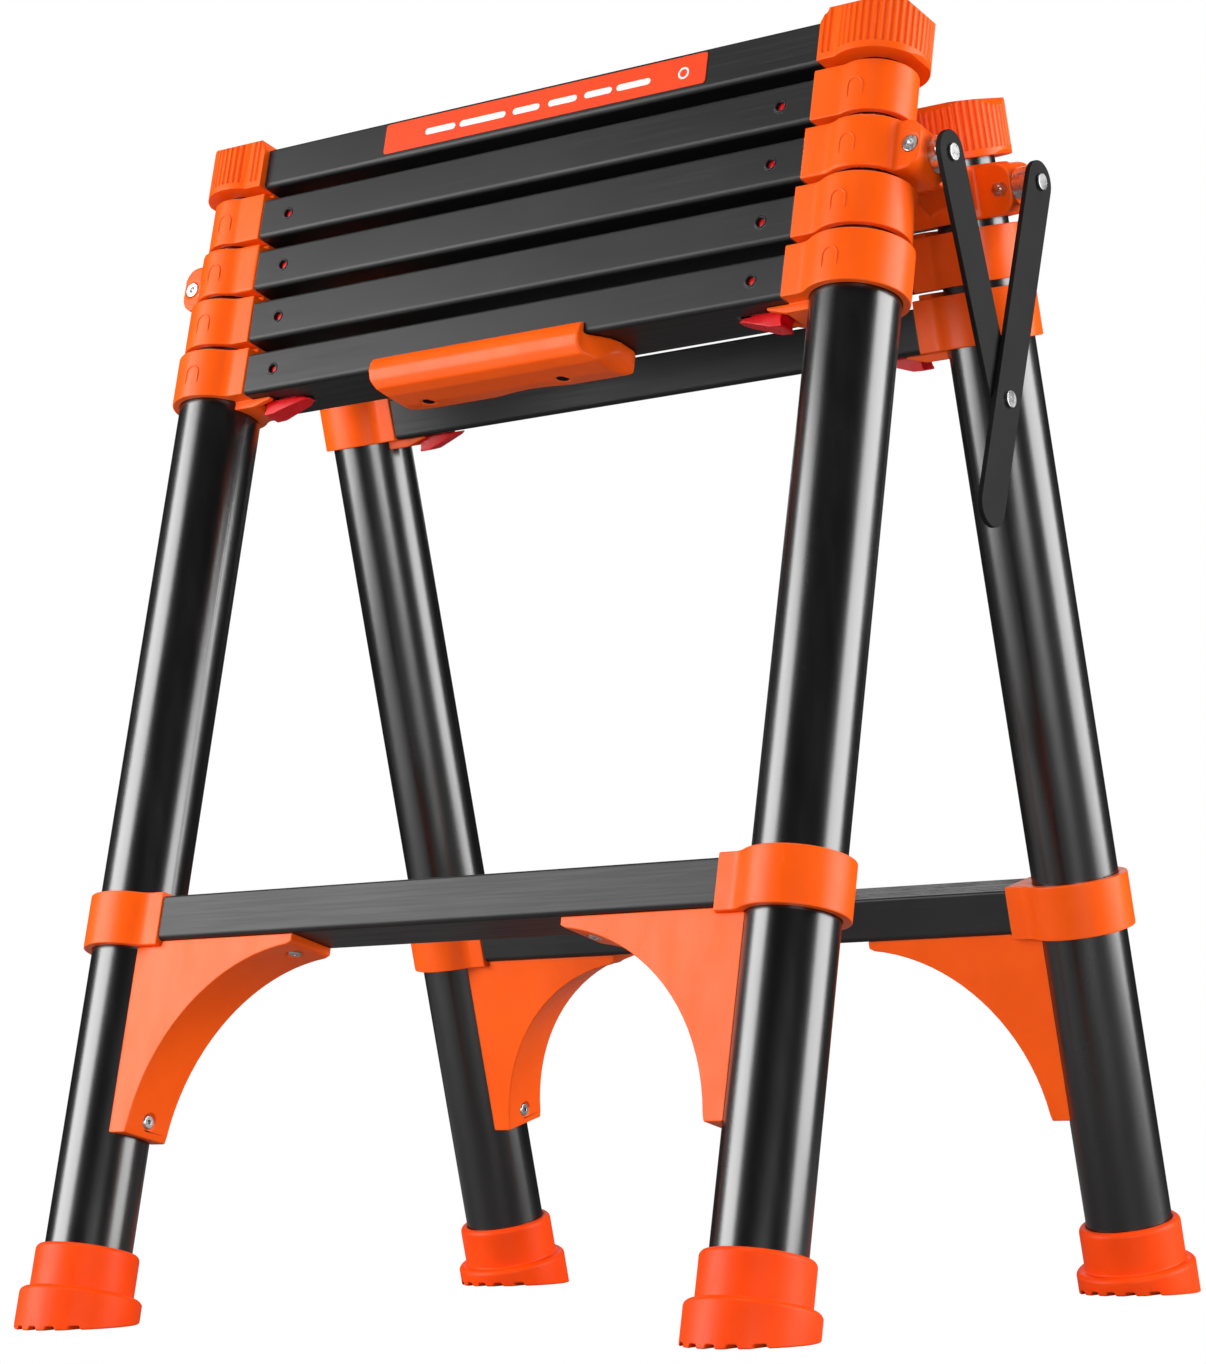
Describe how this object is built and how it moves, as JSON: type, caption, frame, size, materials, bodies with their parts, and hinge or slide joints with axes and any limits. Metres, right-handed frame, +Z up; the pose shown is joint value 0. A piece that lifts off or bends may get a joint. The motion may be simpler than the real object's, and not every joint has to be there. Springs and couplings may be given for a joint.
{
  "type": "sawhorse",
  "caption": "Folding sawhorse of two telescopic ladder frames with hollow rungs, clamping collars, arched step gussets, a top hinge and pivoting side links.",
  "frame": {"origin": "on the ground, midway between the four feet", "axes": "+X along the rungs to the user's right, +Y from the front frame to the rear frame, +Z up"},
  "size_m": [0.5408, 0.4586, 0.6844],
  "materials": {
    "tube_black": "gloss black coating on drawn aluminium tube",
    "rung_grey": "satin dark grey coating",
    "collar_orange": "semi-gloss moulded nylon",
    "foot_orange": "satin moulded elastomer",
    "lock_red": "semi-gloss moulded plastic",
    "link_charcoal": "satin powder coat",
    "bright_steel": "bright zinc plate",
    "label_orange": "printed film"
  },
  "bodies": {
    "front_base": {"front_tubes_5": "tube_black", "front_rung_5": "rung_grey", "front_collars_5": "collar_orange", "front_step_rung": "rung_grey", "front_step_collars": "collar_orange", "front_gussets": "collar_orange", "front_feet": "foot_orange", "front_handle": "collar_orange", "front_rivets": "bright_steel"},
    "front_section_4": {"front_tubes_4": "tube_black", "front_rung_4": "rung_grey", "front_collars_4": "collar_orange"},
    "front_section_3": {"front_tubes_3": "tube_black", "front_rung_3": "rung_grey", "front_hinge_collars": "collar_orange", "front_hinge_hardware": "bright_steel"},
    "front_section_2": {"front_tubes_2": "tube_black", "front_rung_2": "rung_grey", "front_collars_2": "collar_orange"},
    "front_section_1": {"front_tubes_1": "tube_black", "front_rung_1": "rung_grey", "front_caps": "collar_orange", "label": "label_orange"},
    "rear_section_3": {"rear_tubes_3": "tube_black", "rear_rung_3": "rung_grey", "rear_hinge_collars": "collar_orange", "rear_hinge_hardware": "bright_steel"},
    "rear_section_2": {"rear_tubes_2": "tube_black", "rear_rung_2": "rung_grey", "rear_caps": "collar_orange"},
    "rear_section_4": {"rear_tubes_4": "tube_black", "rear_rung_4": "rung_grey", "rear_collars_4": "collar_orange"},
    "rear_base": {"rear_tubes_5": "tube_black", "rear_rung_5": "rung_grey", "rear_collars_5": "collar_orange", "rear_step_rung": "rung_grey", "rear_step_collars": "collar_orange", "rear_gussets": "collar_orange", "rear_feet": "foot_orange", "rear_rivets": "bright_steel"},
    "front_links": {"front_link": "link_charcoal"},
    "rear_links": {"rear_link": "link_charcoal", "link_rivet": "bright_steel"},
    "front_lock_5_left": {"front_lock_5_left": "lock_red"},
    "front_lock_5_right": {"front_lock_5_right": "lock_red"},
    "front_lock_4_left": {"front_lock_4_left": "lock_red"},
    "front_lock_4_right": {"front_lock_4_right": "lock_red"},
    "front_lock_3_left": {"front_lock_3_left": "lock_red"},
    "front_lock_3_right": {"front_lock_3_right": "lock_red"},
    "front_lock_2_left": {"front_lock_2_left": "lock_red"},
    "front_lock_2_right": {"front_lock_2_right": "lock_red"},
    "rear_lock_5_left": {"rear_lock_5_left": "lock_red"},
    "rear_lock_5_right": {"rear_lock_5_right": "lock_red"},
    "rear_lock_4_left": {"rear_lock_4_left": "lock_red"},
    "rear_lock_4_right": {"rear_lock_4_right": "lock_red"},
    "rear_lock_3_left": {"rear_lock_3_left": "lock_red"},
    "rear_lock_3_right": {"rear_lock_3_right": "lock_red"}
  },
  "joints": [
    {"name": "front_slide_4", "type": "slide", "parent": "front_base", "child": "front_section_4", "axis": [0, 0.2351, 0.972], "range_m": [0, 0.29]},
    {"name": "front_slide_3", "type": "slide", "parent": "front_section_4", "child": "front_section_3", "axis": [0, 0.2351, 0.972], "range_m": [0, 0.29]},
    {"name": "front_slide_2", "type": "slide", "parent": "front_section_3", "child": "front_section_2", "axis": [0, 0.2351, 0.972], "range_m": [0, 0.29]},
    {"name": "front_slide_1", "type": "slide", "parent": "front_section_2", "child": "front_section_1", "axis": [0, 0.2351, 0.972], "range_m": [0, 0.29]},
    {"name": "frame_fold", "type": "hinge", "parent": "front_section_3", "child": "rear_section_3", "pos_m": [0, 0, 0.6], "axis": [-1, 0, 0], "range_deg": [0, 27.2]},
    {"name": "rear_slide_2", "type": "slide", "parent": "rear_section_3", "child": "rear_section_2", "axis": [0, -0.2351, 0.972], "range_m": [0, 0.29]},
    {"name": "rear_slide_4", "type": "slide", "parent": "rear_section_3", "child": "rear_section_4", "axis": [0, 0.2351, -0.972], "range_m": [0, 0.29]},
    {"name": "rear_slide_5", "type": "slide", "parent": "rear_section_4", "child": "rear_base", "axis": [0, 0.2351, -0.972], "range_m": [0, 0.29]},
    {"name": "front_link_swing", "type": "hinge", "parent": "front_section_3", "child": "front_links", "pos_m": [0, -0.04288, 0.59604], "axis": [-1, 0, 0], "range_deg": [0, 14.5]},
    {"name": "rear_link_swing", "type": "hinge", "parent": "rear_section_3", "child": "rear_links", "pos_m": [0, 0.04288, 0.59604], "axis": [-1, 0, 0], "range_deg": [-14.5, 0]},
    {"name": "front_lock_5_left_pull", "type": "slide", "parent": "front_base", "child": "front_lock_5_left", "axis": [1, 0, 0], "range_m": [0, 0.006], "stiffness_N_per_m": 150, "springref_m": -0.004},
    {"name": "front_lock_5_right_pull", "type": "slide", "parent": "front_base", "child": "front_lock_5_right", "axis": [-1, 0, 0], "range_m": [0, 0.006], "stiffness_N_per_m": 150, "springref_m": -0.004},
    {"name": "front_lock_4_left_pull", "type": "slide", "parent": "front_section_4", "child": "front_lock_4_left", "axis": [1, 0, 0], "range_m": [0, 0.006], "stiffness_N_per_m": 150, "springref_m": -0.004},
    {"name": "front_lock_4_right_pull", "type": "slide", "parent": "front_section_4", "child": "front_lock_4_right", "axis": [-1, 0, 0], "range_m": [0, 0.006], "stiffness_N_per_m": 150, "springref_m": -0.004},
    {"name": "front_lock_3_left_pull", "type": "slide", "parent": "front_section_3", "child": "front_lock_3_left", "axis": [1, 0, 0], "range_m": [0, 0.006], "stiffness_N_per_m": 150, "springref_m": -0.004},
    {"name": "front_lock_3_right_pull", "type": "slide", "parent": "front_section_3", "child": "front_lock_3_right", "axis": [-1, 0, 0], "range_m": [0, 0.006], "stiffness_N_per_m": 150, "springref_m": -0.004},
    {"name": "front_lock_2_left_pull", "type": "slide", "parent": "front_section_2", "child": "front_lock_2_left", "axis": [1, 0, 0], "range_m": [0, 0.006], "stiffness_N_per_m": 150, "springref_m": -0.004},
    {"name": "front_lock_2_right_pull", "type": "slide", "parent": "front_section_2", "child": "front_lock_2_right", "axis": [-1, 0, 0], "range_m": [0, 0.006], "stiffness_N_per_m": 150, "springref_m": -0.004},
    {"name": "rear_lock_5_left_pull", "type": "slide", "parent": "rear_base", "child": "rear_lock_5_left", "axis": [1, 0, 0], "range_m": [0, 0.006], "stiffness_N_per_m": 150, "springref_m": -0.004},
    {"name": "rear_lock_5_right_pull", "type": "slide", "parent": "rear_base", "child": "rear_lock_5_right", "axis": [-1, 0, 0], "range_m": [0, 0.006], "stiffness_N_per_m": 150, "springref_m": -0.004},
    {"name": "rear_lock_4_left_pull", "type": "slide", "parent": "rear_section_4", "child": "rear_lock_4_left", "axis": [1, 0, 0], "range_m": [0, 0.006], "stiffness_N_per_m": 150, "springref_m": -0.004},
    {"name": "rear_lock_4_right_pull", "type": "slide", "parent": "rear_section_4", "child": "rear_lock_4_right", "axis": [-1, 0, 0], "range_m": [0, 0.006], "stiffness_N_per_m": 150, "springref_m": -0.004},
    {"name": "rear_lock_3_left_pull", "type": "slide", "parent": "rear_section_3", "child": "rear_lock_3_left", "axis": [1, 0, 0], "range_m": [0, 0.006], "stiffness_N_per_m": 150, "springref_m": -0.004},
    {"name": "rear_lock_3_right_pull", "type": "slide", "parent": "rear_section_3", "child": "rear_lock_3_right", "axis": [-1, 0, 0], "range_m": [0, 0.006], "stiffness_N_per_m": 150, "springref_m": -0.004}
  ],
  "couplings": [
    {"joint": "front_link_swing", "follows": "frame_fold", "ratio": 0.5328},
    {"joint": "rear_link_swing", "follows": "frame_fold", "ratio": -0.5328}
  ]
}
